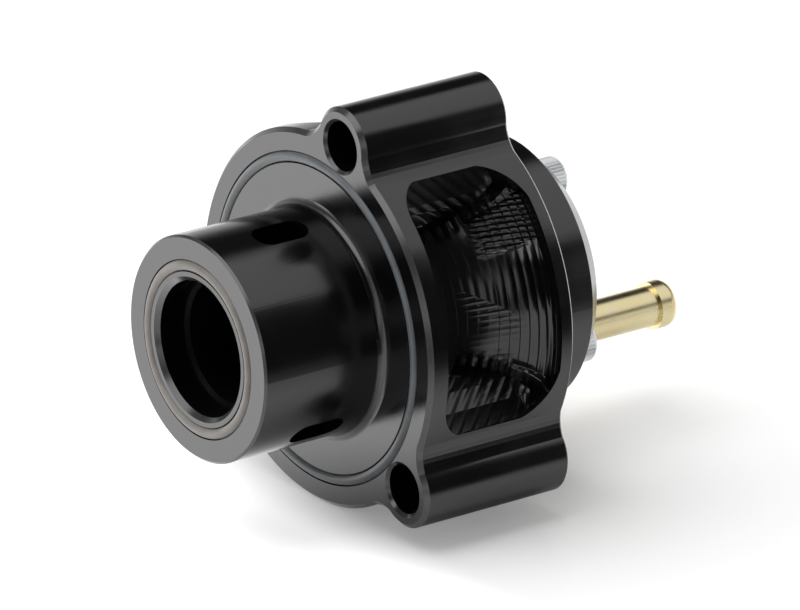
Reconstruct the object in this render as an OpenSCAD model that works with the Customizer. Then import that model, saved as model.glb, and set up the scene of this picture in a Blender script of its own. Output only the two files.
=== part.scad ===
// Piston blow off valve that bolts to a turbocharger housing with three lugs.
// The axis lies along Y: the nose points to -Y, the cap and hose barb to +Y.
// The origin is the centre of the flange face, +Z is up. All sizes are in mm.
// Every module is drawn about its own z axis, nose upward, and laid over at the end.

/* [Body] */
// diameter of the round part of the body
body_d = 50.2; // [49:0.1:51.5]
// length of the body behind the flange face
body_len = 22.8; // [22:0.1:25]
// bevel around the front outline
edge_bevel = 0.6; // [0.3:0.1:1]
// bevel around the rear outline
rear_bevel = 0.35; // [0.2:0.05:0.6]

/* [Lugs] */
// pitch circle of the three fixing holes
lug_pcd = 51.6; // [50.5:0.1:53]
// width of a lug across its round end
lug_d = 10.4; // [10:0.1:11.4]
// fixing hole, clearance for an M6 bolt
lug_hole_d = 6.6; // [6.4:0.1:7]
// hollow blend between lug and round body
lug_blend_r = 5; // [4:0.1:6]
// angle of the first lug above the horizontal
lug_clock = 77.5; // [60:0.5:100]

/* [Nose] */
// outside diameter of the nose
nose_d = 30; // [29:0.1:31]
// length of the nose in front of the flange face
nose_len = 18.5; // [17.5:0.1:20]
// fillet at the foot of the nose
nose_root_r = 1.2; // [0.8:0.1:1.6]
// air port in the front of the nose
port_d = 18; // [17:0.1:18.4]
// bevel at the mouth of the port
port_bevel = 0.6; // [0.3:0.1:0.8]
// thickness of the lip around the port
lip_t = 3; // [2.6:0.1:3.4]
// length of a side vent along the axis
vent_len = 8; // [7:0.1:8.6]
// width of a side vent
vent_w = 4.2; // [3.6:0.1:5]
// distance of the vent centres in front of the flange face
vent_y = 7.75; // [7.2:0.05:8.2]

/* [Pockets] */
// flange left standing in front of a pocket
pocket_flange_t = 2.8; // [2.4:0.1:3.4]
// rim left standing behind a pocket
pocket_rim_t = 2.1; // [1.8:0.1:3]
// width of a pocket on the surface
pocket_w = 33; // [30:0.2:33.6]
// distance of the deepest part of a pocket from the axis
pocket_floor_r = 14.2; // [13.6:0.1:15]
// lean of the pocket's side walls
pocket_lean = 46; // [40:1:50]
// front corner radius of a pocket's outline
pocket_corner_r = 4.6; // [3:0.1:5.5]
// rear corner radius of a pocket's outline
pocket_rear_r = 7; // [5:0.1:8]
// ball cutter passes on the sloping floor
pocket_passes = 13; // [9:1:15]
// radius of the ball cutter
ball_r = 3; // [2.5:0.1:3.5]

/* [Seals] */
// centre line of the flange seal
flange_seal_d = 42.6; // [41.6:0.1:43]
// centre line of the nose seal
nose_seal_d = 22.1; // [21.8:0.1:22.6]
// thickness of the O-rings
ring_t = 1.5; // [1.3:0.1:1.6]
// how far the face seals stand out of their grooves
seal_proud = 0.3; // [0.2:0.05:0.4]
// side play of an O-ring in its groove
ring_play = 0.06; // [0.04:0.01:0.1]

/* [Piston] */
// cylinder bore
bore_d = 19.6; // [19.2:0.1:20]
// radial clearance of piston and spigot in the bore
piston_play = 0.05; // [0.03:0.01:0.08]
// radial clearance of the rings in the bore
ring_run = 0.03; // [0.02:0.01:0.05]
// thickness of the soft seat ring
seat_t = 1; // [0.8:0.1:1.2]
// overall length of the piston
piston_len = 19.5; // [19:0.1:20]
// how far the piston slides back
piston_travel = 12; // [10:0.1:12.4]
// depth of the hollow in the piston's front
piston_cup = 11.5; // [10.5:0.1:11.8]
// thickness of the piston's web
piston_web_t = 3.4; // [3:0.1:3.6]
// wall around the front hollow
piston_wall = 1.75; // [1.5:0.05:2]
// width of the guide band
guide_w = 2; // [1.6:0.1:2.2]
// thickness of the guide band
guide_t = 1; // [0.8:0.1:1.2]

/* [Spring] */
// middle diameter of the coil
spring_d = 12; // [11.6:0.1:12.4]
// wire thickness
spring_wire = 1; // [0.8:0.1:1.1]
// number of turns
spring_turns = 8; // [6:1:9]
// thickness of the preload shim
shim_t = 1; // [0.6:0.1:1.4]

/* [Cap] */
// outside diameter of the cap
cap_d = 36; // [35:0.1:37]
// height of the cap behind the body
cap_h = 10.9; // [10:0.1:12]
// broad bevel around the cap's rear
cap_bevel = 2.6; // [2:0.1:2.8]
// end wall of the cap behind the spring
cap_end_t = 3; // [2.6:0.1:3.6]
// diameter of the spring chamber
chamber_d = 14.4; // [14:0.1:14.8]
// pitch circle of the three cap screws
screw_pcd = 25; // [24.8:0.1:25.4]
// thread size of the cap screws
screw_d = 3; // [2.8:0.1:3.2]
// length of a cap screw under its head
screw_len = 18; // [16:0.5:19]
// diameter of a screw head
head_d = 5.5; // [5.2:0.1:5.6]
// height of a screw head
head_h = 3; // [2.6:0.1:3.2]
// hexagon key size of a screw head
key_w = 2.5; // [2:0.1:2.8]

/* [Hose barb] */
// outside diameter of the tube
barb_d = 5.4; // [5:0.1:5.8]
// bore of the tube
barb_bore = 2.6; // [2:0.1:3]
// diameter of the bead
bead_d = 6.4; // [6.2:0.1:6.8]
// straight part of the bead behind its shoulder
bead_land = 1.5; // [1:0.1:2]
// round at the tip of the bead
bead_round = 1.5; // [1:0.1:1.6]
// length of the barb behind the cap
barb_len = 25.2; // [22:0.2:28]
// length of the barb in the cap
barb_in = 5.5; // [5:0.1:6]
// distance of the barb from the axis
barb_off = 12.2; // [11.8:0.1:12.4]

/* [Hidden] */
$fn = 96;
eps = 0.01;
over = 1;

body_r = body_d / 2;
lug_p = lug_pcd / 2;
lug_r = lug_d / 2;
nose_r = nose_d / 2;
port_r = port_d / 2;
bore_r = bore_d / 2;
cap_r = cap_d / 2;

// triangle of body centre, lug centre and blend centre
blend_a = body_r + lug_blend_r;
blend_b = lug_r + lug_blend_r;
blend_angle = acos((blend_a * blend_a + lug_p * lug_p - blend_b * blend_b) / (2 * blend_a * lug_p));
blend_x = blend_a * cos(blend_angle);
blend_y = blend_a * sin(blend_angle);
blend_turn = atan2(blend_y, blend_x - lug_p);
blend_bite = 0.06;
trim = 0.25;
web_step = 0.05;
blend_steps = 8;
web_in = body_r - 8;

// stack of the moving parts along the axis, forward is positive
lip_back = nose_len - lip_t;
seat_gap = 0.02;
stop_gap = 0.8;
piston_z = lip_back - seat_t - seat_gap;
piston_end = piston_z - piston_len;
web_front = piston_z - piston_cup;
web_back = web_front - piston_web_t;
piston_r = bore_r - piston_play;
cup_r = piston_r - piston_wall;
skirt_r = chamber_d / 2 + 0.2;
ring_out_r = bore_r - ring_run;
ring_mid_r = ring_out_r - ring_t / 2;
ring_floor_r = ring_out_r - ring_t - 0.02;
ring_groove_w = ring_t + 2 * ring_play;
piston_ring_z = (web_front + web_back) / 2 - 0.3;
guide_z = piston_end + 1.1 + guide_w / 2;
guide_floor_r = ring_out_r - guide_t - 0.02;

// rear end
body_back = -body_len;
cap_back = body_back - cap_h;
chamber_back = cap_back + cap_end_t;
spigot_front = piston_end - piston_travel - stop_gap;
spigot_len = spigot_front - body_back;
cap_ring_z = body_back + spigot_len / 2;
shim_front = chamber_back + shim_t;
screw_r = screw_pcd / 2;
screw_end = cap_back + screw_len;
barb_tip = cap_back - barb_len;
barb_root = cap_back + barb_in;
barb_clock = lug_clock + 180;

face_groove_w = ring_t + 2 * ring_play;
face_groove_t = ring_t - seal_proud + 0.02;

black = [0.08, 0.08, 0.085];
rubber = [0.12, 0.12, 0.13];
brown = [0.30, 0.26, 0.23];
black_plastic = [0.07, 0.07, 0.07];
steel = [0.72, 0.74, 0.77];
brass = [0.80, 0.62, 0.30];

// lay the drawn part over so that its nose points to -Y
module lay() {
    rotate([90, 0, 0]) children();
}

// the same thing at the three lugs
module at_lugs() {
    for (i = [0 : 2]) rotate([0, 0, lug_clock + 120 * i]) children();
}

// an O-ring or groove ring around the axis
module torus(mid_r, t) {
    rotate_extrude() translate([mid_r, 0]) circle(d = t);
}

// a plain ring with its lower face at z = 0
module ring(out_r, in_r, h) {
    difference() {
        cylinder(r = out_r, h = h);
        translate([0, 0, -over]) cylinder(r = in_r, h = h + 2 * over);
    }
}

// a round with both edges bevelled, left long at both ends for the trim
module bevelled_round(r) {
    rotate_extrude() polygon([[0, body_back - trim], [r - rear_bevel - trim, body_back - trim],
        [r, body_back + rear_bevel], [r, -edge_bevel], [r - edge_bevel - trim, trim], [0, trim]]);
}

// outline of a blend web at one height, drawn in by d; its ends sink a little into the two rounds
function web_ring(d, z) = concat(
    [for (i = [0:blend_steps]) let (a = 180 + blend_angle + (blend_turn - blend_angle) * i / blend_steps)
        [blend_x + (lug_blend_r + blend_bite + d) * cos(a), blend_y + (lug_blend_r + blend_bite + d) * sin(a), z]],
    [[lug_p, 0, z], [web_in, 0, z], [web_in * cos(blend_angle), web_in * sin(blend_angle), z]]);

// web that fills the corner between a lug and the round, hollow on its open side
module blend_web() {
    n = blend_steps + 4;
    polyhedron(
        points = concat(web_ring(rear_bevel + trim, body_back - trim), web_ring(0, body_back + rear_bevel + web_step),
            web_ring(0, -edge_bevel - web_step), web_ring(edge_bevel + trim, trim)),
        faces = concat([[for (i = [0:n - 1]) n - 1 - i]], [[for (i = [0:n - 1]) 3 * n + i]],
            [for (k = [0:2], i = [0:n - 1]) let (j = (i + 1) % n)
                [k * n + i, k * n + j, (k + 1) * n + j, (k + 1) * n + i]]));
}

// body blank: a round with three lugs, blended into it, faced off flat at both ends
module body_blank() {
    difference() {
        union() {
            bevelled_round(body_r);
            at_lugs() {
                translate([lug_p, 0, 0]) bevelled_round(lug_r);
                blend_web();
                mirror([0, 1, 0]) blend_web();
            }
        }
        translate([-body_d, -body_d, 0]) cube([2 * body_d, 2 * body_d, 1]);
        translate([-body_d, -body_d, body_back - 1]) cube([2 * body_d, 2 * body_d, 1]);
    }
}

// outline of a side vent, with round ends
module slot() {
    half = (vent_len - vent_w) / 2;
    translate([-half, -vent_w / 2]) square([2 * half, vent_w]);
    for (s = [-1, 1]) translate([s * half, 0]) circle(d = vent_w);
}

// turned nose with its root fillet and front bevel
module nose_blank() {
    rotate_extrude() {
        polygon([[0, -over], [nose_r, -over], [nose_r, nose_len - 0.3], [nose_r - 0.3, nose_len],
            [0, nose_len]]);
        difference() {
            translate([nose_r - eps, -eps]) square(nose_root_r + eps);
            translate([nose_r + nose_root_r, nose_root_r]) circle(r = nose_root_r + eps / 2);
        }
    }
}

// what stays standing under the pockets: a barrel that sweeps up to the rear rim in ball cutter passes
module pocket_core() {
    z_back = body_back + pocket_rim_t;
    dish_x = body_r + 0.4;
    dish_r = dish_x - pocket_floor_r;
    dish_z = z_back + dish_r;
    pass_r = dish_r - ball_r + 0.13;
    rotate_extrude() difference() {
        polygon([[0, over], [pocket_floor_r, over], [pocket_floor_r, dish_z], [dish_x, dish_z],
            [dish_x, z_back], [dish_x + 8, z_back], [dish_x + 8, body_back - over], [0, body_back - over]]);
        translate([dish_x, dish_z]) circle(r = dish_r - 0.4);
        for (i = [0 : pocket_passes - 1]) {
            a = 180 + 90 * (i + 0.5) / pocket_passes;
            translate([dish_x + pass_r * cos(a), dish_z + pass_r * sin(a)]) circle(r = ball_r);
        }
    }
}

// rounded window of a pocket, seen along the radius, with wider corners at the rear
module pocket_window() {
    h = body_len - pocket_flange_t - pocket_rim_t + 0.3;
    w = pocket_w + 0.5;
    c = pocket_corner_r;
    d = pocket_rear_r;
    translate([0, 0, -pocket_flange_t]) rotate([0, 90, 0]) linear_extrude(height = 40) union() {
        translate([c, -w / 2]) square([h - c - d, w]);
        translate([0, c - w / 2]) square([c + eps, w - 2 * c]);
        translate([h - d - eps, d - w / 2]) square([d + eps, w - 2 * d]);
        for (s = [-1, 1]) {
            translate([c, s * (w / 2 - c)]) circle(r = c);
            translate([h - d, s * (w / 2 - d)]) circle(r = d);
        }
    }
}

// leaning side walls of a pocket, as a wedge along the axis
module pocket_wedge() {
    edge_x = sqrt(body_r * body_r - pocket_w * pocket_w / 4);
    lean = tan(pocket_lean);
    half = pocket_w / 2;
    translate([0, 0, body_back - over]) linear_extrude(height = body_len + 2 * over) polygon([
        [edge_x - half / lean, 0],
        [edge_x + 12, half + 12 * lean],
        [edge_x + 12, -half - 12 * lean]]);
}

// one milled pocket
module pocket() {
    difference() {
        intersection() {
            pocket_window();
            pocket_wedge();
        }
        pocket_core();
    }
}

// housing with flange, lugs, pockets and nose
module body() {
    color(black) lay() difference() {
        union() {
            body_blank();
            nose_blank();
        }
        // cylinder bore, port and its mouth
        translate([0, 0, body_back - over]) cylinder(r = bore_r, h = lip_back - body_back + over);
        cylinder(r = port_r, h = nose_len + over);
        translate([0, 0, nose_len - port_bevel])
            cylinder(r1 = port_r, r2 = port_r + port_bevel + over, h = port_bevel + over);
        // seal grooves in the nose and flange faces
        translate([0, 0, nose_len - face_groove_t])
            ring((nose_seal_d + face_groove_w) / 2, (nose_seal_d - face_groove_w) / 2, face_groove_t + over);
        translate([0, 0, -face_groove_t])
            ring((flange_seal_d + face_groove_w) / 2, (flange_seal_d - face_groove_w) / 2, face_groove_t + over);
        at_lugs() {
            // side vent
            translate([port_r - 4, 0, vent_y]) rotate([0, 90, 0])
                linear_extrude(height = nose_r - port_r + 5) slot();
            // fixing hole with bevelled mouths
            translate([lug_p, 0, body_back - over]) cylinder(d = lug_hole_d, h = body_len + 2 * over);
            translate([lug_p, 0, -0.4]) cylinder(d1 = lug_hole_d, d2 = lug_hole_d + 2, h = 1);
            translate([lug_p, 0, body_back - 0.6]) cylinder(d1 = lug_hole_d + 2, d2 = lug_hole_d, h = 1);
            // tapped hole of a cap screw
            translate([screw_r, 0, body_back - over])
                cylinder(d = screw_d + 0.1, h = screw_end - body_back + 1.5 + over);
            // pocket between two lugs
            rotate([0, 0, 60]) pocket();
        }
    }
}

// O-ring of the flange face
module flange_seal() {
    color(rubber) lay() translate([0, 0, seal_proud - ring_t / 2]) torus(flange_seal_d / 2, ring_t);
}

// O-ring of the nose face
module nose_seal() {
    color(brown) lay() translate([0, 0, nose_len + seal_proud - ring_t / 2]) torus(nose_seal_d / 2, ring_t);
}

// soft ring behind the lip that the piston closes on
module seat_ring() {
    color(black_plastic) lay() translate([0, 0, lip_back - seat_t]) ring(ring_out_r, port_r, seat_t);
}

// hollow piston, open to both sides of its web
module piston() {
    color(black) lay() difference() {
        translate([0, 0, piston_end]) cylinder(r = piston_r, h = piston_len);
        translate([0, 0, web_front]) cylinder(r = cup_r, h = piston_cup + over);
        translate([0, 0, piston_end - over]) cylinder(r = skirt_r, h = web_back - piston_end + over);
        translate([0, 0, piston_z - 0.5]) cylinder(r1 = cup_r, r2 = cup_r + 0.5 + over, h = 0.5 + over);
        translate([0, 0, piston_ring_z - ring_groove_w / 2])
            ring(piston_r + over, ring_floor_r, ring_groove_w);
        translate([0, 0, guide_z - guide_w / 2 - ring_play])
            ring(piston_r + over, guide_floor_r, guide_w + 2 * ring_play);
    }
}

// O-ring of the piston
module piston_seal() {
    color(rubber) lay() translate([0, 0, piston_ring_z]) torus(ring_mid_r, ring_t);
}

// guide band of the piston
module piston_guide_ring() {
    color(black_plastic) lay() translate([0, 0, guide_z - guide_w / 2])
        ring(ring_out_r, ring_out_r - guide_t, guide_w);
}

// coil spring with closed ends, drawn as a swept octagon
module return_spring() {
    sides = 8;
    per_turn = 24;
    n = spring_turns * per_turn;
    low = shim_front + spring_wire / 2;
    high = web_back - spring_wire / 2;
    flat = spring_wire / (high - low);
    function rise(t) = t * spring_turns < 1 ? flat * t * spring_turns
        : t * spring_turns > spring_turns - 1 ? 1 - flat * (1 - t) * spring_turns
        : flat + (1 - 2 * flat) * (t * spring_turns - 1) / (spring_turns - 2);
    pts = [for (i = [0 : n]) for (k = [0 : sides - 1])
        let (a = 360 * i / per_turn, b = 360 * (k + 0.5) / sides,
            r = spring_d / 2 + 0.5 * spring_wire * cos(b),
            z = low + (high - low) * rise(i / n) + 0.5 * spring_wire * sin(b))
        [r * cos(a), r * sin(a), z]];
    sides_faces = [for (i = [0 : n - 1]) for (k = [0 : sides - 1])
        [i * sides + k, (i + 1) * sides + k, (i + 1) * sides + (k + 1) % sides, i * sides + (k + 1) % sides]];
    start = [[for (k = [0 : sides - 1]) k]];
    end = [[for (k = [sides - 1 : -1 : 0]) n * sides + k]];
    color(steel) lay() polyhedron(points = pts, faces = concat(start, sides_faces, end), convexity = 10);
}

// washer that sets the spring's preload
module spring_shim() {
    color(steel) lay() translate([0, 0, chamber_back]) ring(chamber_d / 2 - 0.3, spring_d / 2 - 2, shim_t);
}

// rear cap with spigot, spring chamber and hose passage
module cap() {
    color(black) lay() difference() {
        union() {
            translate([0, 0, cap_back + cap_bevel]) cylinder(r = cap_r, h = cap_h - cap_bevel);
            translate([0, 0, cap_back]) cylinder(r1 = cap_r - cap_bevel, r2 = cap_r, h = cap_bevel);
            translate([0, 0, body_back - eps]) cylinder(r = piston_r, h = spigot_len + eps);
        }
        translate([0, 0, chamber_back]) cylinder(d = chamber_d, h = spigot_front - chamber_back + over);
        translate([0, 0, cap_ring_z - ring_groove_w / 2])
            ring(piston_r + over, ring_floor_r, ring_groove_w);
        at_lugs() translate([screw_r, 0, cap_back - over])
            cylinder(d = screw_d + 0.4, h = cap_h + 2 * over);
        rotate([0, 0, barb_clock]) {
            translate([barb_off, 0, cap_back - over]) cylinder(d = barb_d, h = barb_in + over);
            translate([barb_off, 0, cap_back]) cylinder(d = barb_bore, h = barb_in + 3);
            translate([0, 0, barb_root + 1.7]) rotate([0, 90, 0]) cylinder(d = 2.2, h = barb_off);
        }
    }
}

// O-ring of the cap's spigot
module cap_seal() {
    color(rubber) lay() translate([0, 0, cap_ring_z]) torus(ring_mid_r, ring_t);
}

// one socket-head screw, its head pointing back
module cap_screw() {
    difference() {
        union() {
            translate([0, 0, cap_back - eps]) cylinder(d = screw_d, h = screw_len + eps - 0.4);
            translate([0, 0, screw_end - 0.4]) cylinder(d1 = screw_d, d2 = screw_d - 0.8, h = 0.4);
            translate([0, 0, cap_back - head_h + 0.25]) cylinder(d = head_d, h = head_h - 0.25);
            translate([0, 0, cap_back - head_h]) cylinder(d1 = head_d - 0.5, d2 = head_d, h = 0.25);
        }
        translate([0, 0, cap_back - head_h - over])
            cylinder(d = key_w / cos(30), h = head_h / 2 + over, $fn = 6);
    }
}

// the three screws of the cap
module cap_screws() {
    color(steel) lay() at_lugs() translate([screw_r, 0, 0]) cap_screw();
}

// brass tube with a shouldered bead and a rounded tip for the hose
module hose_barb() {
    r = barb_d / 2 - eps;
    bead_r = bead_d / 2;
    round_z = barb_tip + bead_round;
    color(brass) lay() rotate([0, 0, barb_clock]) translate([barb_off, 0, 0]) rotate_extrude() difference() {
        polygon([[barb_bore / 2, barb_root], [r, barb_root], [r, round_z + bead_land],
            [bead_r, round_z + bead_land], [bead_r, barb_tip], [barb_bore / 2, barb_tip]]);
        difference() {
            translate([bead_r - bead_round, barb_tip - over]) square([bead_round + over, bead_round + over]);
            translate([bead_r - bead_round, round_z]) circle(r = bead_round + eps / 2);
        }
    }
}

body();
flange_seal();
nose_seal();
seat_ring();
piston();
piston_seal();
piston_guide_ring();
return_spring();
spring_shim();
cap();
cap_seal();
cap_screws();
hose_barb();
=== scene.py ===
# %% [markdown]
# # A blow off valve, dressed for the studio
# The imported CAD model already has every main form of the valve: the flange block
# with its three lugs, the nose, the cap and the brass tube. This lesson keeps those
# solids, gives each of them a finish of its own, and models again the two kinds of
# piece that look too plain as solids: the knurled cap screws and the return spring.
# All lengths are in metres, in the frame of the CAD model, and the nose looks along -Y.

# %% Load the frame
import math

import bmesh
import bpy
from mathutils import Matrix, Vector


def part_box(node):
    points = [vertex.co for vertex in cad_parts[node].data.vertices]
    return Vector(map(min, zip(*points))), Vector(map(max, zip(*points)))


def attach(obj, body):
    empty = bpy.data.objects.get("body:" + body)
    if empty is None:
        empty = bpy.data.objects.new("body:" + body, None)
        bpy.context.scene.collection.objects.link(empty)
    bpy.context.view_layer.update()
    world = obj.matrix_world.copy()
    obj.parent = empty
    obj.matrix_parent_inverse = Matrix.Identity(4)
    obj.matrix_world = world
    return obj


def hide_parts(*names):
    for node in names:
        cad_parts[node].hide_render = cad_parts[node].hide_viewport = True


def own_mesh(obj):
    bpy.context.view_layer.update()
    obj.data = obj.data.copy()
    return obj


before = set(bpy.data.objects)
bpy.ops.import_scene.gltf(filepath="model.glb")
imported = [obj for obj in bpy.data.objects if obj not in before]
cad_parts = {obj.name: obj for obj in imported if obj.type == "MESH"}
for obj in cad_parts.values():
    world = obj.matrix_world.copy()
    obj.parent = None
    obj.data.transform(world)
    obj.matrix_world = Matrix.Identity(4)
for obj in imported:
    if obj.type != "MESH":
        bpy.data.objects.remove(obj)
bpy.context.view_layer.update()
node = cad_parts
scene = bpy.context.scene
MM = 0.001
print("CAD nodes:", ", ".join(sorted(node)))

# %% [markdown]
# ## Camera first
# The photograph was taken with a long lens, so lines that are parallel on the valve stay
# nearly parallel in the picture. A camera a metre and a half away with a 543 mm lens gives
# the same calm perspective. It looks down by 21 degrees and comes from the right of the nose.

# %% Camera
LENS = 543
SENSOR = 36
IMAGE_WIDTH = 800
SHIFT_PIXELS = 0.7
CAMERA_AT = Vector((1170.3, -842.4, 563.6)) * MM
LOOK_ALONG = Vector((-0.752, 0.550, -0.363))

camera_data = bpy.data.cameras.new("photo_camera")
camera = bpy.data.objects.new("photo_camera", camera_data)
scene.collection.objects.link(camera)
camera_data.lens = LENS
camera_data.sensor_width = SENSOR
camera_data.shift_y = SHIFT_PIXELS / IMAGE_WIDTH
camera_data.clip_start = 0.05
camera_data.clip_end = 20
camera.location = CAMERA_AT
camera.rotation_euler = LOOK_ALONG.to_track_quat("-Z", "Y").to_euler()
scene.camera = camera
scene.view_settings.view_transform = "Standard"
print("camera at", tuple(round(v, 3) for v in camera.location))

# %% [markdown]
# ## Small helpers for modelling by hand
# Operators act on whatever is selected, and the loaded solids start out selected. So each
# new piece begins with an empty selection, and inside edit mode the faces or corners for the
# next step are picked by where they are.

# %% Helpers for edit mode
def begin():
    """Leave edit mode and select nothing."""
    if bpy.context.mode != "OBJECT":
        bpy.ops.object.mode_set(mode="OBJECT")
    bpy.ops.object.select_all(action="DESELECT")


def only(piece):
    """Make one piece the selected and active one."""
    begin()
    piece.select_set(True)
    bpy.context.view_layer.objects.active = piece


def pick(piece, kind, test):
    """In edit mode, select the faces or vertices that pass the test, and count them."""
    bpy.ops.mesh.select_mode(type=kind)
    bpy.ops.mesh.select_all(action="DESELECT")
    mesh = bmesh.from_edit_mesh(piece.data)
    parts = {"FACE": mesh.faces, "VERT": mesh.verts}[kind]
    parts.ensure_lookup_table()
    count = 0
    for part in parts:
        if test(part):
            part.select_set(True)
            count += 1
    bmesh.update_edit_mesh(piece.data)
    return count


def looks_up(face):
    return face.normal.z > 0.9


def looks_down(face):
    return face.normal.z < -0.9


def draw_out(distance, scale=1.0):
    """Extrude the picked faces along Z, then scale the new end."""
    bpy.ops.mesh.extrude_region_move(TRANSFORM_OT_translate={"value": (0, 0, distance)})
    bpy.ops.transform.resize(value=(scale, scale, 1))


def settle(piece):
    """Put the piece's place into its mesh, so that its object sits at the origin."""
    only(piece)
    bpy.ops.object.transform_apply(location=True, rotation=True, scale=True)


print("helpers ready")

# %% [markdown]
# ## The cap screws
# Three small socket screws hold the cap. Their bright heads show from behind the block, and
# what the eye reads first is the fine knurl round each head. A bump could fake it, but the
# outline of the head would stay smooth. So one screw is modelled standing up: a round blank
# of many sides gets a chamfer at both ends, the shank is drawn out of the underside, and
# every second corner of the blank is drawn in for the knurl.

# %% One screw, standing on the Z axis
HEAD_R = 2.75 * MM
HEAD_H = 3.0 * MM
TOP_CHAMFER = 0.4 * MM
FOOT_CHAMFER = 0.15 * MM
SHANK_R = 1.5 * MM
SHANK_LEN = 18.0 * MM
SHANK_TIP = 0.4 * MM
KNURLS = 36
NEAR = 0.05 * MM
TOP_SCALE = 0.86
FOOT_SCALE = 0.95
TIP_SCALE = 0.75
VALLEY_SCALE = 0.945

blank_h = HEAD_H - TOP_CHAMFER - FOOT_CHAMFER
begin()
bpy.ops.mesh.primitive_cylinder_add(
    vertices=KNURLS * 2, radius=HEAD_R, depth=blank_h, location=(0, 0, blank_h / 2 + FOOT_CHAMFER))
screw = bpy.context.object
settle(screw)
bpy.ops.object.mode_set(mode="EDIT")

# the chamfer of the top and the small one underneath
pick(screw, "FACE", looks_up)
draw_out(TOP_CHAMFER, TOP_SCALE)
pick(screw, "FACE", looks_down)
draw_out(-FOOT_CHAMFER, FOOT_SCALE)

# the shank
bpy.ops.mesh.inset(thickness=HEAD_R * FOOT_SCALE - SHANK_R)
draw_out(-(SHANK_LEN - SHANK_TIP))
draw_out(-SHANK_TIP, TIP_SCALE)


def in_valley(corner):
    """True for every second corner of the blank's side."""
    if not FOOT_CHAMFER - NEAR < corner.co.z < HEAD_H - TOP_CHAMFER + NEAR:
        return False
    turn = math.atan2(corner.co.y, corner.co.x) / math.tau * KNURLS * 2
    return round(turn) % 2 == 1


# the knurl
valleys = pick(screw, "VERT", in_valley)
bpy.ops.transform.resize(value=(VALLEY_SCALE, VALLEY_SCALE, 1))
bpy.ops.object.mode_set(mode="OBJECT")
print("knurl corners drawn in:", valleys)

# %% [markdown]
# ## The key socket
# A hexagonal punch makes the socket, and its tip leaves a shallow cone at the bottom. A
# second piece in the shape of the punch is subtracted from the head, because an inset of the
# round top face would keep its many sides.

# %% Key socket of the screw
KEY_R = 1.443 * MM
KEY_LEN = 3.0 * MM
KEY_TIP = 0.5 * MM
KEY_TIP_SCALE = 0.15
SOCKET_DEPTH = 1.4 * MM

begin()
bpy.ops.mesh.primitive_cylinder_add(
    vertices=6, radius=KEY_R, depth=KEY_LEN, location=(0, 0, HEAD_H - SOCKET_DEPTH + KEY_LEN / 2))
key = bpy.context.object
bpy.ops.object.mode_set(mode="EDIT")
pick(key, "FACE", looks_down)
draw_out(-KEY_TIP, KEY_TIP_SCALE)
bpy.ops.object.mode_set(mode="OBJECT")
settle(key)
only(screw)
cut = screw.modifiers.new("socket", "BOOLEAN")
cut.operation = "DIFFERENCE"
cut.object = key
cut.solver = "EXACT"
bpy.ops.object.modifier_apply(modifier="socket")
bpy.data.objects.remove(key)
print("screw faces:", len(screw.data.polygons))

# %% [markdown]
# ## Three screws on the cap
# The screws stand in line with the three lugs. Each copy has a mesh of its own, lies down
# along +Y and goes to its place on the ring of screws. The three are then joined, because
# they stand for one node of the CAD model.

# %% Three screws on the cap
SCREW_RING = 12.5 * MM
SEAT_Y = 33.7 * MM
FIRST_LUG = 77.5
THIRD_OF_TURN = 120.0
FLAT_ON_SCREW = math.radians(25)

copies = []
for number in range(3):
    only(screw)
    bpy.ops.object.duplicate()
    copy = bpy.context.object
    angle = math.radians(FIRST_LUG + number * THIRD_OF_TURN)
    copy.rotation_euler = (-math.pi / 2, 0, 0)
    copy.location = (SCREW_RING * math.cos(angle), SEAT_Y, SCREW_RING * math.sin(angle))
    settle(copy)
    copies.append(copy)
bpy.data.objects.remove(screw)
begin()
for copy in copies:
    copy.select_set(True)
bpy.context.view_layer.objects.active = copies[0]
bpy.ops.object.join()
screws = bpy.context.object
screws.name = "cap_screw_set"
only(screws)
bpy.ops.object.shade_smooth_by_angle(angle=FLAT_ON_SCREW)
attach(screws, "housing")
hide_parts("cap_screws")

# %% [markdown]
# ## The return spring
# The spring sits out of sight between the piston and the cap, and a cut-away shows it. A
# curve with a round section would also do, but its ends would stay round. Here a ring of
# wire is turned up into a coil by the Screw modifier, and the ends are ground flat by cutting
# the coil at two planes.

# %% Coil
WIRE_R = 0.5 * MM
WIRE_SIDES = 14
TURNS = 8
STEPS_A_TURN = 32
GROUND_OFF = 0.1 * MM
FLAT_ON_COIL = math.radians(35)

spring_lo, spring_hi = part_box("return_spring")
spring_len = spring_hi.y - spring_lo.y
coil_r = (spring_hi.x - spring_lo.x) / 2 - WIRE_R
rise = spring_len - WIRE_R
begin()
bpy.ops.mesh.primitive_circle_add(
    vertices=WIRE_SIDES, radius=WIRE_R, fill_type="NOTHING",
    location=(coil_r, 0, 0), rotation=(math.pi / 2, 0, 0))
coil = bpy.context.object
coil.name = "return_spring_coil"
settle(coil)
turn_up = coil.modifiers.new("coil", "SCREW")
turn_up.axis = "Z"
turn_up.angle = math.tau * TURNS
turn_up.screw_offset = rise
turn_up.steps = turn_up.render_steps = STEPS_A_TURN * TURNS
bpy.ops.object.modifier_apply(modifier="coil")
bpy.ops.object.mode_set(mode="EDIT")
bpy.ops.mesh.select_all(action="SELECT")
bpy.ops.mesh.fill_holes(sides=0)
bpy.ops.mesh.normals_make_consistent(inside=False)
for plane_z, outward in ((-GROUND_OFF, -1), (rise + GROUND_OFF, 1)):
    bpy.ops.mesh.select_all(action="SELECT")
    bpy.ops.mesh.bisect(plane_co=(0, 0, plane_z), plane_no=(0, 0, outward), use_fill=True, clear_outer=True)
bpy.ops.object.mode_set(mode="OBJECT")
coil.rotation_euler = (-math.pi / 2, 0, 0)
coil.location = (0, (spring_lo.y + spring_hi.y) / 2 - rise / 2, 0)
settle(coil)
bpy.ops.object.shade_smooth_by_angle(angle=FLAT_ON_COIL)
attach(coil, "housing")
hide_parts("return_spring")
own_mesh(coil)
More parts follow.
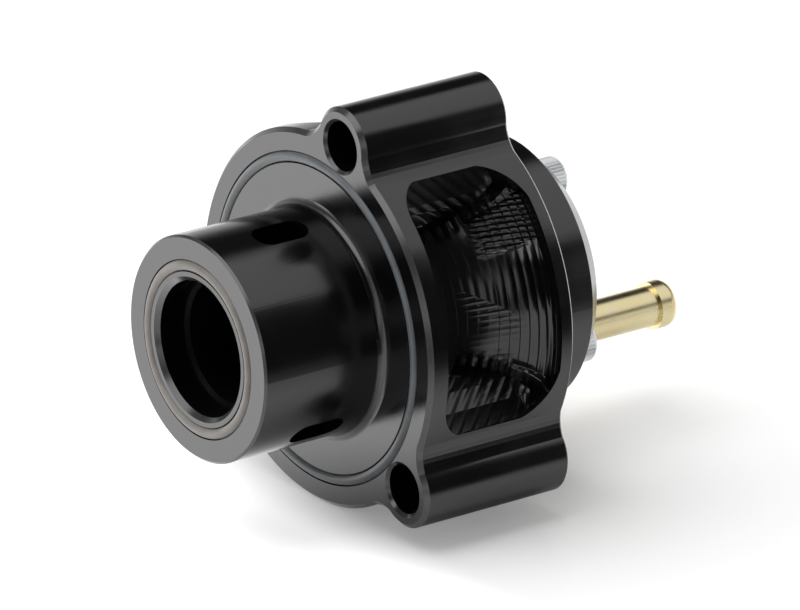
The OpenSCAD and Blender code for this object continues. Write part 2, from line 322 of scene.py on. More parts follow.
print("coil", round(coil_r / MM, 2), "mm mean radius,", round(spring_len / MM, 1), "mm long")

# %% [markdown]
# ## Sums with nodes
# Every finish below is worked out from the place of a point, with many small Math nodes.
# Wiring them one by one would hide the idea behind the wires, so a few short functions add a
# node and give back its output. A number or a colour is set on the socket, and the output of
# another node is linked to it.

# %% Helpers for nodes
def feed(tree, value, socket):
    """Set a number or a colour on a socket, or link an output to it."""
    if isinstance(value, (int, float)):
        socket.default_value = value
    elif isinstance(value, tuple):
        socket.default_value = (*value, 1)
    else:
        tree.links.new(value, socket)


def maths(tree, what, a, b=None):
    """A Math node of one or two values."""
    made = tree.nodes.new("ShaderNodeMath")
    made.operation = what
    feed(tree, a, made.inputs[0])
    if b is not None:
        feed(tree, b, made.inputs[1])
    return made.outputs[0]


def times(tree, first, *others):
    """The product of two or more values."""
    for other in others:
        first = maths(tree, "MULTIPLY", first, other)
    return first


def plus(tree, first, *others):
    """The sum of two or more values."""
    for other in others:
        first = maths(tree, "ADD", first, other)
    return first


def minus(tree, a, b):
    return maths(tree, "SUBTRACT", a, b)


def ramp(tree, value, low, high, to_low=0.0, to_high=1.0):
    """A smooth Map Range from low..high to to_low..to_high."""
    made = tree.nodes.new("ShaderNodeMapRange")
    made.interpolation_type = "SMOOTHSTEP"
    tree.links.new(value, made.inputs["Value"])
    for name, number in (("From Min", low), ("From Max", high), ("To Min", to_low), ("To Max", to_high)):
        made.inputs[name].default_value = number
    return made.outputs["Result"]


def fall(tree, value, low, high):
    """A mask that is one up to low, and falls to zero at high."""
    return ramp(tree, value, low, high, 1.0, 0.0)


def band(tree, value, low, high, soft):
    """A mask that is one between low and high, and fades over soft on both sides."""
    return times(tree, ramp(tree, value, low - soft, low), fall(tree, value, high, high + soft))


def vector(tree, *parts):
    """Three values as one vector."""
    made = tree.nodes.new("ShaderNodeCombineXYZ")
    for socket, value in zip(made.inputs, parts):
        feed(tree, value, socket)
    return made.outputs[0]


def axes_of(tree, point):
    """The X, Y and Z outputs of a vector."""
    made = tree.nodes.new("ShaderNodeSeparateXYZ")
    tree.links.new(point, made.inputs[0])
    return made.outputs


def object_point(tree):
    """Object coordinates, in metres."""
    return tree.nodes.new("ShaderNodeTexCoord").outputs["Object"]


def noise(tree, point, scale, detail=3.0, rough=0.6):
    """A Noise Texture's value."""
    made = tree.nodes.new("ShaderNodeTexNoise")
    made.inputs["Scale"].default_value = scale
    made.inputs["Detail"].default_value = detail
    made.inputs["Roughness"].default_value = rough
    tree.links.new(point, made.inputs["Vector"])
    return made.outputs[0]


def new_group(name, takes, gives):
    """A node group with float inputs (name, default) and float outputs."""
    tree = bpy.data.node_groups.new(name, "ShaderNodeTree")
    for label, default in takes:
        socket = tree.interface.new_socket(name=label, in_out="INPUT", socket_type="NodeSocketFloat")
        socket.default_value = default
    for label in gives:
        tree.interface.new_socket(name=label, in_out="OUTPUT", socket_type="NodeSocketFloat")
    return tree, tree.nodes.new("NodeGroupInput"), tree.nodes.new("NodeGroupOutput")


def give(tree, group_output, **values):
    """Link the values to the group's outputs of the same names."""
    for label, value in values.items():
        tree.links.new(value, group_output.inputs[label])
    print("group:", tree.name)


def use_group(tree, group, **numbers):
    """Place a group in a tree with its own numbers, and give back its outputs."""
    made = tree.nodes.new("ShaderNodeGroup")
    made.node_tree = group
    for label, number in numbers.items():
        made.inputs[label].default_value = number
    return made.outputs


print("node helpers ready")

# %% [markdown]
# ## Where a point is on a turned part
# Nearly all of this valve was turned or milled about one axis, so its marks follow the
# distance from that axis, the place along it and the angle round it. One node group works
# these out from Object coordinates, in millimetres and degrees. The three pockets are alike,
# so the group also gives the angle from the middle of the nearest pocket.

# %% Node group: place on the turned part
FIRST_POCKET = FIRST_LUG - THIRD_OF_TURN / 2

place, _, place_out = new_group("place_on_turned_part", [], ["Radius", "Along", "Angle", "Third", "Facing"])
point_axes = axes_of(place, object_point(place))
x_mm = times(place, point_axes["X"], 1 / MM)
y_mm = times(place, point_axes["Y"], 1 / MM)
z_mm = times(place, point_axes["Z"], 1 / MM)
radius = maths(place, "SQRT", plus(place, times(place, x_mm, x_mm), times(place, z_mm, z_mm)))
angle_deg = times(place, maths(place, "ARCTAN2", z_mm, x_mm), 180 / math.pi)
from_lug = minus(place, angle_deg, FIRST_POCKET - THIRD_OF_TURN / 2)
third = minus(place, maths(place, "FLOORED_MODULO", from_lug, THIRD_OF_TURN), THIRD_OF_TURN / 2)
surface = place.nodes.new("ShaderNodeNewGeometry")
facing = maths(place, "ABSOLUTE", axes_of(place, surface.outputs["Normal"])["Y"])
give(place, place_out, Radius=radius, Along=y_mm, Angle=angle_deg, Third=third, Facing=facing)

# %% [markdown]
# ## Lathe rings and mill streaks
# A lathe leaves very fine rings on a flat face, and a cutter that runs along the side leaves
# fine streaks along the axis. Both are nearly one-dimensional noise: it changes with the
# radius on a face and with the angle on a side, and hardly at all along the axis. A second,
# slower noise keeps the finish from being even.

# %% Node group: machining marks
RING_DRIFT = 0.02
STREAK_DRIFT = 0.06
PATCH_SCALE = 160.0
FACE_LEAN = (0.6, 0.8)

marks, marks_in, marks_out = new_group(
    "machining_marks", [("Ring scale", 6.0), ("Streak scale", 1.2)], ["Height", "Patch"])
spot = use_group(marks, place)
round_face = times(marks, spot["Radius"], marks_in.outputs["Ring scale"])
rings = noise(marks, vector(marks, round_face, times(marks, spot["Along"], RING_DRIFT), 0.0), 1.0)
round_side = times(marks, spot["Angle"], marks_in.outputs["Streak scale"])
streaks = noise(marks, vector(marks, round_side, times(marks, spot["Along"], STREAK_DRIFT), 0.0), 1.0)
on_face = ramp(marks, spot["Facing"], *FACE_LEAN)
height = plus(marks, times(marks, rings, on_face), times(marks, streaks, minus(marks, 1.0, on_face)))
patch = noise(marks, object_point(marks), PATCH_SCALE, 4.0, 0.55)
give(marks, marks_out, Height=height, Patch=patch)

# %% [markdown]
# ## Bright edges
# The chamfers of the block were cut or polished after the rest, and they catch the light as
# thin bright lines. A chamfer is easy to find: its face leans halfway between the axis and
# the side. The vents and pockets have such faces too, and they lie between the ends of the
# nose and of the block, so those stretches are left out, and so is the black rear of the cap.

# %% Node group: chamfers
CHAMFER_LEAN = (0.62, 0.80, 0.05)
LEFT_OUT = ((-17.7, -1.4, 0.1), (0.9, 22.2, 0.1), (30.5, 34.5, 0.1))
NICK_SCALE = 900.0
NICKED = 0.8

edges, _, edges_out = new_group("bright_chamfers", [], ["Mask"])
spot = use_group(edges, place)
leaning = band(edges, spot["Facing"], *CHAMFER_LEAN)
for stretch in LEFT_OUT:
    outside = minus(edges, 1.0, band(edges, spot["Along"], *stretch))
    leaning = times(edges, leaning, outside)
broken = ramp(edges, noise(edges, object_point(edges), NICK_SCALE), 0.3, 0.6, NICKED, 1.0)
give(edges, edges_out, Mask=times(edges, leaning, broken))

# %% [markdown]
# ## The milled pockets
# A ball-nosed cutter hollowed the three pockets. It went round and round, level by level, so
# its ridges are nested outlines: arcs beside the rear rim that turn a corner and run on
# forward along the lower side. The solid has the arcs, on a floor like a barrel that sweeps up
# to the rear. The group below lays the rest over it as two heights: Flat is in millimetres
# and bends the large forms, and Height is the fine relief. First it finds the pocket.

# %% Pocket: where it is
INNER_R = (11.0, 11.5)
OUTER_R = (24.9, 25.05)
FRONT_Y = 2.85
REAR_Y = 20.9
HALF_ANGLE = 44.0
NEAR_REAR = (15.5, 18.0)

pocket, _, pocket_out = new_group("ball_milled_pocket", [], ["Mask", "Flat", "Height"])
spot = use_group(pocket, place)
inside = times(pocket, ramp(pocket, spot["Radius"], *INNER_R), fall(pocket, spot["Radius"], *OUTER_R),
               band(pocket, spot["Along"], FRONT_Y, REAR_Y, 0.05),
               band(pocket, spot["Third"], -HALF_ANGLE, HALF_ANGLE, 1.0))
third_rad = times(pocket, spot["Third"], math.pi / 180)
across = times(pocket, third_rad, spot["Radius"])
off_middle = maths(pocket, "ABSOLUTE", spot["Third"])
to_rear = ramp(pocket, spot["Along"], *NEAR_REAR)
print("pocket from", FRONT_Y, "to", REAR_Y, "mm along the valve")

# %% [markdown]
# ## A flat floor
# On the real valve the floor of a pocket is flat across. Seen from the axis, a flat floor
# stands higher than a barrel on both sides of the middle, by the radius over the cosine less
# the radius. That height goes into the bump, and it fades towards the sweep and the walls.

# %% Pocket: flat floor
FLOOR_END = (11.0, 17.5)
FLOOR_TOP = (15.5, 18.5)

flat_r = maths(pocket, "DIVIDE", spot["Radius"], maths(pocket, "COSINE", third_rad))
on_floor = times(pocket, fall(pocket, spot["Along"], *FLOOR_END), fall(pocket, spot["Radius"], *FLOOR_TOP))
flat = times(pocket, minus(pocket, flat_r, spot["Radius"]), on_floor)
print("flat floor laid over the barrel")

# %% [markdown]
# ## Nested outlines
# The passes up the rear sweep are counted by the angle of the sweep, and the lines along the
# lower side by the distance across. Whichever count is higher at a point belongs to the outer
# line, so the greater of the two turns the corner by itself. The lines are clear near that
# corner, and faint beside the rear rim, where the solid has them already.

# %% Pocket: nested outlines
SWEEP_START = 9.4
SWEEP_R = 11.3
PASSES = 13
CORNER_COUNT = 3.7
LINES_PER_MM = 1.174
LOWER_REACH = (1.0, 5.0)
LOWER_REST = 0.1
REAR_REACH = (-5.0, -1.5)
CORNER_FRONT = (11.0, 14.0)
CORNER_REAR = (17.0, 19.5)
RIM_ARCS = (-6.0, 12.0, 6.0)
BY_RIM_SHARE = 0.3


def ridges(count):
    """Sharp ridges between round grooves, one for each whole number of the count."""
    wave = maths(pocket, "ABSOLUTE", maths(pocket, "SINE", times(pocket, count, math.pi)))
    return minus(pocket, 1.0, wave)


sweep = maths(pocket, "DIVIDE", minus(pocket, spot["Along"], SWEEP_START), SWEEP_R)
sweep = maths(pocket, "MAXIMUM", sweep, 0.0)
rear_pass = times(pocket, maths(pocket, "ARCSINE", sweep), PASSES / (math.pi / 2))
low_pass = minus(pocket, CORNER_COUNT, times(pocket, across, LINES_PER_MM))
ahead = minus(pocket, low_pass, rear_pass)
near_corner = times(pocket, ramp(pocket, ahead, *LOWER_REACH, 1.0, LOWER_REST),
                    ramp(pocket, ahead, *REAR_REACH),
                    ramp(pocket, spot["Along"], *CORNER_FRONT),
                    fall(pocket, spot["Along"], *CORNER_REAR))
by_rim = times(pocket, to_rear, band(pocket, spot["Third"], *RIM_ARCS))
clear = plus(pocket, near_corner, times(pocket, by_rim, BY_RIM_SHARE))
outlines = times(pocket, ridges(maths(pocket, "MAXIMUM", rear_pass, low_pass)), clear)
print("outlines of", PASSES, "passes")

# %% [markdown]
# ## Smooth flares
# Above and below the middle the rear of the pocket leans less than the sweep of the solid, and
# it doesn't have its grooves. So the grooves are filled up again there, each with a parabola,
# and past a lean of 40 degrees the surface is bent down. A slope that goes down by the tangent
# of the excess angle adds up to the logarithm of its cosine.

# %% Pocket: smooth flares
FILL_HEIGHT = 0.311
MOST_LEAN = 0.70
NEARLY_UPRIGHT = 0.995
LOWER_FLARE = (-26.0, -1.0)
UPPER_FLARE = (6.0, 22.0)
WALL_FOOT = (32.0, 35.0)

part_way = maths(pocket, "FRACT", rear_pass)
fill = times(pocket, part_way, minus(pocket, 1.0, part_way), FILL_HEIGHT, minus(pocket, 1.0, by_rim))
lean = maths(pocket, "ARCSINE", maths(pocket, "MINIMUM", sweep, NEARLY_UPRIGHT))
steeper = maths(pocket, "MAXIMUM", minus(pocket, lean, MOST_LEAN), 0.0)
drop = times(pocket, maths(pocket, "LOGARITHM", maths(pocket, "COSINE", steeper), math.e), SWEEP_R)
flared = plus(pocket, fall(pocket, spot["Third"], *LOWER_FLARE), ramp(pocket, spot["Third"], *UPPER_FLARE))
swept = plus(pocket, fill, times(pocket, drop, flared))
off_wall = fall(pocket, off_middle, *WALL_FOOT)
flat = plus(pocket, flat, times(pocket, swept, off_wall))
print("flares lean", round(math.degrees(MOST_LEAN)), "degrees at most")

# %% [markdown]
# ## Scales, and the side walls
# At the upper rear the cutter's passes overlap in rows of scales: ridges that run up the sweep,
# broken up by cells that are longer than they are wide. On the two side walls it left slanting
# scallops, and its ball rounded the foot of each wall.

# %% Pocket: scales and side walls
ROWS_PER_MM = 1.3
SCALES_PER_MM = 0.55
SCALE_DISORDER = 0.9
CELL_SHARE = 0.9
SCALE_ANGLES = (16.5, 31.0, 3.0)
SCALLOP_SLANT = 1.1
SCALLOP_PITCH = 2.0
WALL_START = (30.0, 34.0)
WALL_END = (17.5, 20.5)
LOWER_TO_UPPER = (-10.0, 10.0)
FOOT_START = (18.2, 16.6)
FOOT_LEAN = (-0.60, -0.30)
FOOT_HEIGHT = 3.4

rows = times(pocket, across, ROWS_PER_MM)
cells = pocket.nodes.new("ShaderNodeTexVoronoi")
cells.voronoi_dimensions = "2D"
cells.inputs["Scale"].default_value = 1.0
cells.inputs["Randomness"].default_value = SCALE_DISORDER
scale_vector = vector(pocket, times(pocket, spot["Along"], SCALES_PER_MM), rows, 0.0)
pocket.links.new(scale_vector, cells.inputs["Vector"])
scales = plus(pocket, times(pocket, cells.outputs["Distance"], CELL_SHARE), ridges(rows))
upper_rear = times(pocket, to_rear, band(pocket, spot["Third"], *SCALE_ANGLES))

slant = plus(pocket, spot["Along"], times(pocket, spot["Radius"], SCALLOP_SLANT))
scallops = ridges(maths(pocket, "DIVIDE", slant, SCALLOP_PITCH))
on_wall = times(pocket, ramp(pocket, off_middle, *WALL_START), fall(pocket, spot["Along"], *WALL_END))

# the lower wall's foot starts further out and leans more than the upper wall's
foot_start = ramp(pocket, spot["Third"], *LOWER_TO_UPPER, *FOOT_START)
foot_lean = ramp(pocket, spot["Third"], *LOWER_TO_UPPER, *FOOT_LEAN)
above_foot = maths(pocket, "MAXIMUM", minus(pocket, spot["Radius"], foot_start), 0.0)
foot = maths(pocket, "MINIMUM", above_foot, FOOT_HEIGHT)
flat = plus(pocket, flat, times(pocket, foot, foot_lean, on_wall))
print("scallops every", SCALLOP_PITCH, "mm")

# %% [markdown]
# ## The pocket put together
# The outlines, the scales and the scallops are added up, each with its own share of the fine
# relief, and both heights are kept inside the pocket.

# %% Pocket: put together
OUTLINE_SHARE = 0.8
SCALE_SHARE = 2.0
SCALLOP_SHARE = 1.1

relief = plus(pocket, times(pocket, outlines, OUTLINE_SHARE),
              times(pocket, scales, upper_rear, SCALE_SHARE),
              times(pocket, scallops, on_wall, SCALLOP_SHARE))
flat = times(pocket, flat, inside)
relief = times(pocket, relief, inside)
give(pocket, pocket_out, Mask=inside, Flat=flat, Height=relief)

# %% [markdown]
# ## Black anodised aluminium
# Hard black anodising is a dense dark layer with a strong shine, more like dark glass than
# like paint: a face that mirrors the white table looks grey, and one that mirrors the dark
# room looks black. So the base is nearly black, and a high index of refraction does the rest.

# %% Finish: black anodised aluminium
ANODISED = ((0.0012, 0.0012, 0.0014), (0.0030, 0.0030, 0.0035))
BARE_METAL = (0.56, 0.56, 0.57)
ANODISED_ROUGH = (0.15, 0.20)
ANODISED_IOR = 1.8
MARK_DEPTH = 0.012 * MM
MARK_STRENGTH = 0.6
RELIEF_DEPTH = 0.14 * MM
POCKET_ROUGHER = 0.06
BLOCK_EDGE = 0.08
CAP_EDGE = 0.5


def new_finish(name):
    """A new material with its tree and its shader."""
    made = bpy.data.materials.new(name)
    made.use_nodes = True
    return made, made.node_tree, made.node_tree.nodes["Principled BSDF"]


def mix_colour(tree, mask, first, second):
    """The first colour where the mask is zero, the second where it is one."""
    made = tree.nodes.new("ShaderNodeMix")
    made.data_type = "RGBA"
    for socket, value in zip((made.inputs[0], made.inputs[6], made.inputs[7]), (mask, first, second)):
        feed(tree, value, socket)
    return made.outputs[2]


def soft_patch(tree, patch, low=0.0, high=1.0):
    """A noise with its middle range spread from low to high."""
    return ramp(tree, patch, 0.3, 0.7, low, high)


def bump(tree, height, distance, strength=1.0, after=None):
    """A Bump node's normal, on top of another normal where one is given."""
    made = tree.nodes.new("ShaderNodeBump")
    made.inputs["Distance"].default_value = distance
    made.inputs["Strength"].default_value = strength
    tree.links.new(height, made.inputs["Height"])
    if after is not None:
        tree.links.new(after, made.inputs["Normal"])
    return made.outputs[0]


def wire(tree, shader, colour, roughness, normal):
    """Link what changes over the surface to the shader."""
    tree.links.new(colour, shader.inputs["Base Color"])
    tree.links.new(roughness, shader.inputs["Roughness"])
    tree.links.new(normal, shader.inputs["Normal"])


def black_anodised(name, with_pockets, bare_edge):
    """Black anodising; bare_edge is how far its chamfers are cut down to bright metal."""
    finish, tree, shader = new_finish(name)
    mark = use_group(tree, marks)
    edge = times(tree, use_group(tree, edges)["Mask"], bare_edge)
    shade = mix_colour(tree, edge, mix_colour(tree, mark["Patch"], *ANODISED), BARE_METAL)
    rough = soft_patch(tree, mark["Patch"], *ANODISED_ROUGH)
    normal = bump(tree, mark["Height"], MARK_DEPTH, MARK_STRENGTH)
    if with_pockets:
        milled = use_group(tree, pocket)
        normal = bump(tree, milled["Flat"], MM, 1.0, normal)
        normal = bump(tree, milled["Height"], RELIEF_DEPTH, 1.0, normal)
        rough = plus(tree, rough, times(tree, milled["Mask"], POCKET_ROUGHER))
    wire(tree, shader, shade, rough, normal)
    tree.links.new(edge, shader.inputs["Metallic"])
    shader.inputs["IOR"].default_value = ANODISED_IOR
    return finish


def dress(name, finish):
    """Give a CAD node its finish."""
    for slot in node[name].material_slots:
        slot.material = finish
    print(name, "wears", finish.name)


dress("body", black_anodised("black_anodised_block", True, BLOCK_EDGE))
dress("cap", black_anodised("black_anodised_cap", False, CAP_EDGE))

# %% [markdown]
# ## The dark inside
# The piston is black as well, and the seat and the guide ring are turned from a black
# plastic. In the photograph nothing can be told apart in the port, so both finishes are
# duller than the block's and hardly shine. They keep its lathe rings.

# %% Finishes: dull black piston and black plastic
def turned_black(name, ring_scale, colours, roughness, mark_depth, strength, shine):
    """A dull black with lathe rings; shine is the shader's specular level."""
    finish, tree, shader = new_finish(name)
    mark = use_group(tree, marks, **{"Ring scale": ring_scale})
    colour = mix_colour(tree, mark["Patch"], *colours)
    rough = soft_patch(tree, mark["Patch"], *roughness)
    wire(tree, shader, colour, rough, bump(tree, mark["Height"], mark_depth, strength))
    shader.inputs["Specular IOR Level"].default_value = shine
    return finish


PISTON_BLACK = ((0.0015, 0.0015, 0.0015), (0.0035, 0.0035, 0.0040))
PLASTIC_BLACK = ((0.0012, 0.0012, 0.0012), (0.0030, 0.0030, 0.0028))
dull_black = turned_black(
    "dull_black_piston", ring_scale=9.0, colours=PISTON_BLACK, roughness=(0.38, 0.48),
    mark_depth=0.015 * MM, strength=0.6, shine=0.05)
black_plastic = turned_black(
    "turned_black_plastic", ring_scale=3.0, colours=PLASTIC_BLACK, roughness=(0.45, 0.55),
    mark_depth=0.02 * MM, strength=0.5, shine=0.03)
dress("piston", dull_black)
for ring_name in ("seat_ring", "piston_guide_ring"):
    dress(ring_name, black_plastic)

# %% [markdown]
# ## Rubber rings
# The large ring in the flange is black rubber, and the small ring in the nose is a brownish grey one.
# Both colours are lighter than the rubber itself, and the black one is tinted a cool grey-blue: this is
# painted sheen that stands in for what the glossy rings reflect. Moulded rubber has a soft shine and a
# very fine grain. A slow noise moves colour and roughness together, and the grain is only bump.

# %% Finish: rubber
GRAIN_STRENGTH = 0.5


def clouded(name, cloud_scale, grain_scale, colours, roughness, grain_depth, metal=0.0):
    """A finish with soft clouds in colour and roughness, and a fine grain."""
    finish, tree, shader = new_finish(name)
    point = object_point(tree)
    cloud = noise(tree, point, cloud_scale, 4.0, 0.6)
    grain = noise(tree, point, grain_scale, 2.0, 0.5)
    colour = mix_colour(tree, soft_patch(tree, cloud), *colours)
    rough = soft_patch(tree, cloud, *roughness)
    wire(tree, shader, colour, rough, bump(tree, grain, grain_depth, GRAIN_STRENGTH))
    shader.inputs["Metallic"].default_value = metal
    return finish


RUBBER_CLOUD = 240.0
RUBBER_GRAIN = 4000.0
RUBBER_DEPTH = 0.01 * MM
# both colours hold painted sheen: they are lighter than the rubber itself, and the black one is tinted
# grey-blue
BLACK_RUBBER_AND_SHEEN = ((0.085, 0.092, 0.098), (0.115, 0.124, 0.132))
BROWN_RUBBER_AND_SHEEN = ((0.170, 0.156, 0.143), (0.235, 0.216, 0.198))
black_rubber = clouded("black_rubber", RUBBER_CLOUD, RUBBER_GRAIN, BLACK_RUBBER_AND_SHEEN, (0.28, 0.38), RUBBER_DEPTH)
brown_rubber = clouded("brown_rubber", RUBBER_CLOUD, RUBBER_GRAIN, BROWN_RUBBER_AND_SHEEN, (0.36, 0.46), RUBBER_DEPTH)
for ring_name in ("flange_seal", "piston_seal", "cap_seal"):
    dress(ring_name, black_rubber)
dress("nose_seal", brown_rubber)

# %% [markdown]
# ## Steel
# The screws are zinc plated, a bluish white, and slightly cloudy where the plating is thin.
# The plating scatters part of the light, so it is set to three quarters metal. The spring and
# its shim are bare drawn steel with a darker, oiled look.

# %% Finish: zinc and spring steel
STEEL_CLOUD = 700.0
STEEL_GRAIN = 5200.0
ZINC = ((0.88, 0.92, 0.94), (0.95, 0.97, 0.98))
OILED_STEEL = ((0.22, 0.22, 0.23), (0.36, 0.36, 0.37))
PLATING_METAL = 0.75
zinc = clouded("bright_zinc", STEEL_CLOUD, STEEL_GRAIN, ZINC, (0.30, 0.42), 0.006 * MM, PLATING_METAL)
oiled = clouded("oiled_spring_steel", STEEL_CLOUD, STEEL_GRAIN, OILED_STEEL, (0.24, 0.36), 0.005 * MM, 1.0)
for piece, finish in ((screws, zinc), (coil, oiled)):
    piece.data.materials.clear()
    piece.data.materials.append(finish)
    print(piece.name, "wears", finish.name)
dress("spring_shim", oiled)

# %% [markdown]
# ## Brass
# The hose tube is turned brass, pale and clean. Its tool marks run round its axis, so they
# change only along it, and a noise of that one coordinate draws them. A slow noise stands for
# the first tarnish.

# %% Finish: turned brass
BRASS = ((0.96, 0.82, 0.47), (0.98, 0.87, 0.55))
BRASS_ROUGH = (0.22, 0.28)
TOOL_DEPTH = 0.01 * MM
TOOL_SCALE = 9000.0
TARNISH_SCALE = 300.0

brass, tree, shader = new_finish("turned_brass")
point = object_point(tree)
along_tube = times(tree, axes_of(tree, point)["Y"], TOOL_SCALE)
tool = noise(tree, vector(tree, 0.0, along_tube, 0.0), 1.0)
tarnish = noise(tree, point, TARNISH_SCALE, 4.0, 0.6)
colour = mix_colour(tree, soft_patch(tree, tarnish), *BRASS)
rough = soft_patch(tree, tarnish, *BRASS_ROUGH)
wire(tree, shader, colour, rough, bump(tree, tool, TOOL_DEPTH, GRAIN_STRENGTH))
shader.inputs["Metallic"].default_value = 1.0
dress("hose_barb", brass)

# %% [markdown]
# ## The table
# The valve lies on a white table. For the camera the table is white wherever no shadow falls,
# so camera rays get a little light of its own, and more of it in front of the flange, where the
# photograph has no shadow. The black finish mirrors the table too, and each of its faces
# mirrors another place. So for mirrored rays the table is dark at the far right, a little
# darker behind the valve, and brighter on the left, apart from the strip that the tube mirrors.

# %% Floor
TABLE_WHITE = (0.82, 0.82, 0.82)
TABLE_DARK = (0.06, 0.06, 0.065)
TABLE_ROUGH = 0.28
TABLE_IOR = 1.25
TABLE_SIZE = 8
FAR_RIGHT = (0.035, 0.10)
BODY_SLANT = 0.66
BODY_END = (0.028, 0.045)
VALVE_END = (0.045, 0.06)
BEHIND_DIM = 0.19
LEFT_EDGE = (-0.02, 0.02)
STRIP_FRONT = (0.02, 0.05)
STRIP_REAR = (0.065, 0.09)
REAR_LIFT = 0.6
FLANGE_FRONT = (-0.008, 0.003)
CAMERA_LIFT = (0.64, 0.22)
FLOOR_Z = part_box("body")[0].z

begin()
bpy.ops.mesh.primitive_plane_add(size=TABLE_SIZE, location=(0, 0, FLOOR_Z))
floor = bpy.context.object
floor.name = "white_table"
table_finish, tree, shader = new_finish("white_table")
floor.data.materials.append(table_finish)
path = tree.nodes.new("ShaderNodeLightPath")
spot = axes_of(tree, object_point(tree))

beside_body = minus(tree, spot["Y"], times(tree, spot["X"], BODY_SLANT))
far_right = times(tree, ramp(tree, spot["X"], *FAR_RIGHT), fall(tree, beside_body, *BODY_END))
behind_valve = ramp(tree, spot["Y"], *VALVE_END, 0.0, BEHIND_DIM)
dim = times(tree, maths(tree, "MAXIMUM", far_right, behind_valve), path.outputs["Is Glossy Ray"])
tree.links.new(mix_colour(tree, dim, TABLE_WHITE, TABLE_DARK), shader.inputs["Base Color"])
shader.inputs["Roughness"].default_value = TABLE_ROUGH
shader.inputs["IOR"].default_value = TABLE_IOR

off_strip = plus(tree, fall(tree, spot["Y"], *STRIP_FRONT),
                 ramp(tree, spot["Y"], *STRIP_REAR, 0.0, REAR_LIFT))
on_left = times(tree, fall(tree, spot["X"], *LEFT_EDGE), off_strip, path.outputs["Is Glossy Ray"])
in_front = ramp(tree, spot["Y"], *FLANGE_FRONT, *CAMERA_LIFT)
lift = tree.nodes.new("ShaderNodeEmission")
lift_level = plus(tree, times(tree, path.outputs["Is Camera Ray"], in_front), on_left)
tree.links.new(lift_level, lift.inputs["Strength"])
both = tree.nodes.new("ShaderNodeAddShader")
tree.links.new(shader.outputs[0], both.inputs[0])
tree.links.new(lift.outputs[0], both.inputs[1])
tree.links.new(both.outputs[0], tree.nodes["Material Output"].inputs["Surface"])
print("table at", round(FLOOR_Z / MM, 2), "mm")

# %% [markdown]
# ## The black card
# A photographer makes a shiny black part look black by what it mirrors. A card stands on the
# right of the body, and only mirrored rays meet it: it makes the sides of the nose, the lugs
# and the pocket black, and it ends where it would darken the tube.

# %% Black card
CARD_X = 150 * MM
CARD_FRONT = -50 * MM
CARD_REAR = 128 * MM
CARD_TOP = 170 * MM
CARD_BLACK = ((0.010, 0.010, 0.010), (0.020, 0.020, 0.020))
CARD_GRAIN = 900.0
CARD_ROUGH = 0.9

begin()
bpy.ops.mesh.primitive_plane_add(
    size=1, rotation=(0, math.pi / 2, 0),
    location=(CARD_X, (CARD_FRONT + CARD_REAR) / 2, (CARD_TOP + FLOOR_Z) / 2))
card = bpy.context.object
card.name = "black_card"
card.scale = (CARD_TOP - FLOOR_Z, CARD_REAR - CARD_FRONT, 1)
settle(card)
card.visible_camera = False
card.visible_diffuse = False
card.visible_shadow = False
card.visible_transmission = False
card_finish, tree, shader = new_finish("black_card")
card_grain = noise(tree, object_point(tree), CARD_GRAIN)
tree.links.new(mix_colour(tree, card_grain, *CARD_BLACK), shader.inputs["Base Color"])
shader.inputs["Roughness"].default_value = CARD_ROUGH
card.data.materials.append(card_finish)
print("card", round((CARD_REAR - CARD_FRONT) / MM), "mm long")

# %% [markdown]
# ## The world
# The camera sees plain white behind the table. The soft light from all round is weaker, so
# that colours look about as they are written. Mirrored rays see a studio: white paper near
# the horizon that fades upwards, and two soft boxes overhead in a dark room.

# %% World
SOFT_LIGHT = 0.42
DARK_ROOM = 0.03
PAPER_SIDE = (-0.1, 0.45)
PAPER_RIGHT = 0.97
PAPER_TOP = (0.05, 0.45)
SOFT_EDGE = 14

world = bpy.data.worlds.new("studio")
scene.world = world
world.use_nodes = True
tree = world.node_tree
tree.nodes.clear()
path = tree.nodes.new("ShaderNodeLightPath")
direction = tree.nodes.new("ShaderNodeTexCoord").outputs["Generated"]
towards = axes_of(tree, direction)


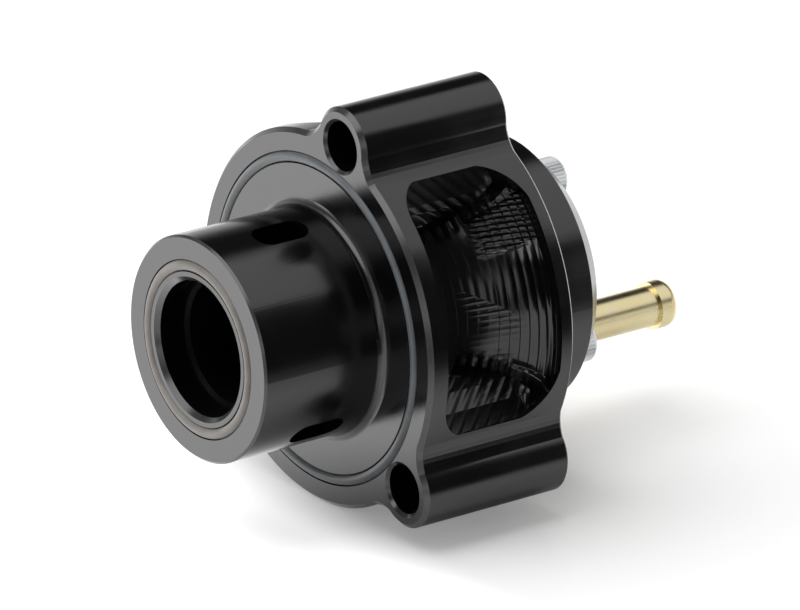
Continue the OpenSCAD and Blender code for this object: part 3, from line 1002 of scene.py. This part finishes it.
def soft_box(middle, half_angle, level):
    """A round patch of light in the mirrored world, with a soft edge."""
    aim = tree.nodes.new("ShaderNodeVectorMath")
    aim.operation = "DOT_PRODUCT"
    tree.links.new(direction, aim.inputs[0])
    aim.inputs[1].default_value = Vector(middle).normalized()
    outer = math.cos(math.radians(half_angle + SOFT_EDGE))
    inner = math.cos(math.radians(half_angle))
    return ramp(tree, aim.outputs["Value"], outer, inner, 0.0, level)


rear_box = soft_box((0.25, 0.55, 0.79), half_angle=24, level=0.95)
front_box = soft_box((-0.13, -0.69, 0.71), half_angle=16, level=2.2)
paper = times(tree, ramp(tree, towards["X"], *PAPER_SIDE, 1.0, PAPER_RIGHT),
              fall(tree, towards["Z"], *PAPER_TOP))
mirrored = maths(tree, "MAXIMUM", paper, DARK_ROOM)
for box in (rear_box, front_box):
    mirrored = maths(tree, "MAXIMUM", mirrored, box)
level = tree.nodes.new("ShaderNodeMix")
level.data_type = "FLOAT"
tree.links.new(path.outputs["Is Glossy Ray"], level.inputs[0])
level.inputs[2].default_value = SOFT_LIGHT
tree.links.new(mirrored, level.inputs[3])
seen = maths(tree, "MAXIMUM", level.outputs[0], path.outputs["Is Camera Ray"])
sky = tree.nodes.new("ShaderNodeBackground")
tree.links.new(seen, sky.inputs["Strength"])
tree.links.new(sky.outputs[0], tree.nodes.new("ShaderNodeOutputWorld").inputs["Surface"])
print("studio world ready")

# %% [markdown]
# ## The lamps
# One large lamp from above and a little from the left makes the soft shadow to the right, and
# a weak one fills the front. Neither is mirrored, because the soft boxes of the world are.

# %% Lamps
def area_lamp(name, place_at, size, watts):
    """A round lamp that aims at the middle of the frame and isn't mirrored."""
    lamp = bpy.data.objects.new(name, bpy.data.lights.new(name, "AREA"))
    scene.collection.objects.link(lamp)
    lamp.data.shape = "DISK"
    lamp.data.size = size
    lamp.data.energy = watts
    lamp.location = place_at
    lamp.rotation_euler = (-Vector(place_at)).to_track_quat("-Z", "Y").to_euler()
    lamp.visible_glossy = False
    print(name, "lamp of", watts, "W")


area_lamp("overhead", place_at=(-0.25, -0.12, 0.70), size=1.0, watts=7.2)
area_lamp("front_fill", place_at=(-0.35, -0.65, 0.25), size=0.5, watts=1.6)
